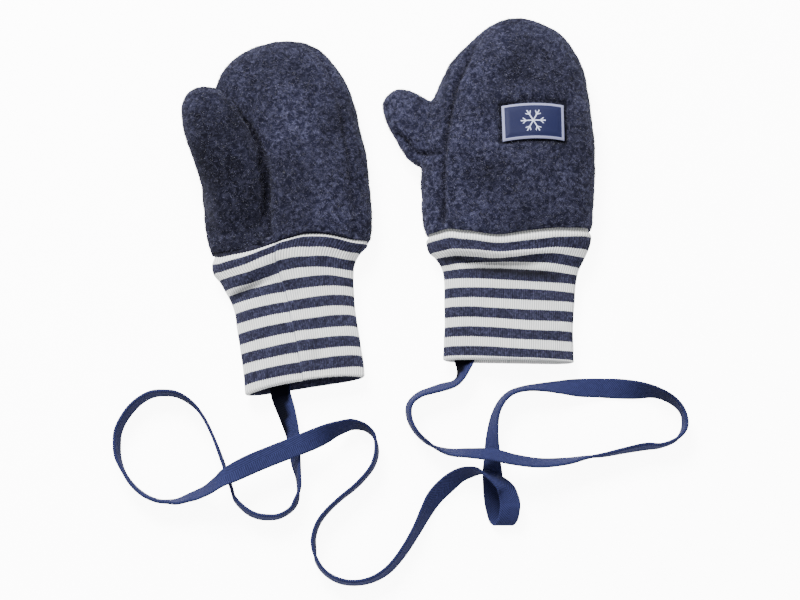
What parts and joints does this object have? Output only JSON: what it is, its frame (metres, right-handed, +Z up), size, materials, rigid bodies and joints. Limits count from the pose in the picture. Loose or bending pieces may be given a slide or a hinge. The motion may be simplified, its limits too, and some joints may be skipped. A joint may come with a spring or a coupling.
{
  "type": "pair of baby mittens",
  "caption": "Pair of boiled-wool baby mittens with striped rib cuffs, laid side by side and joined by a long narrow woven tape.",
  "frame": {"origin": "on the surface the pair lies on, under the middle of the two mittens, the tape left out", "axes": "+X to the right of the pair as it lies, +Y towards the fingertips, +Z up from the surface"},
  "size_m": [0.2811, 0.2892, 0.028],
  "materials": {
    "fleece": "felted wool fleece, heather navy, matt",
    "rib": "fine knitted rib, off-white and navy stripes, matt",
    "label": "woven satin label, navy with a pale frame",
    "tape": "flat woven tape, navy, slightly glossy"
  },
  "bodies": {
    "root": {"left_back": "fleece", "left_palm": "fleece", "left_thumb_heel": "fleece", "left_cuff": "rib", "right_back": "fleece", "right_palm": "fleece", "right_thumb_heel": "fleece", "right_cuff": "rib", "right_label": "label", "link_tape": "tape"}
  },
  "joints": []
}
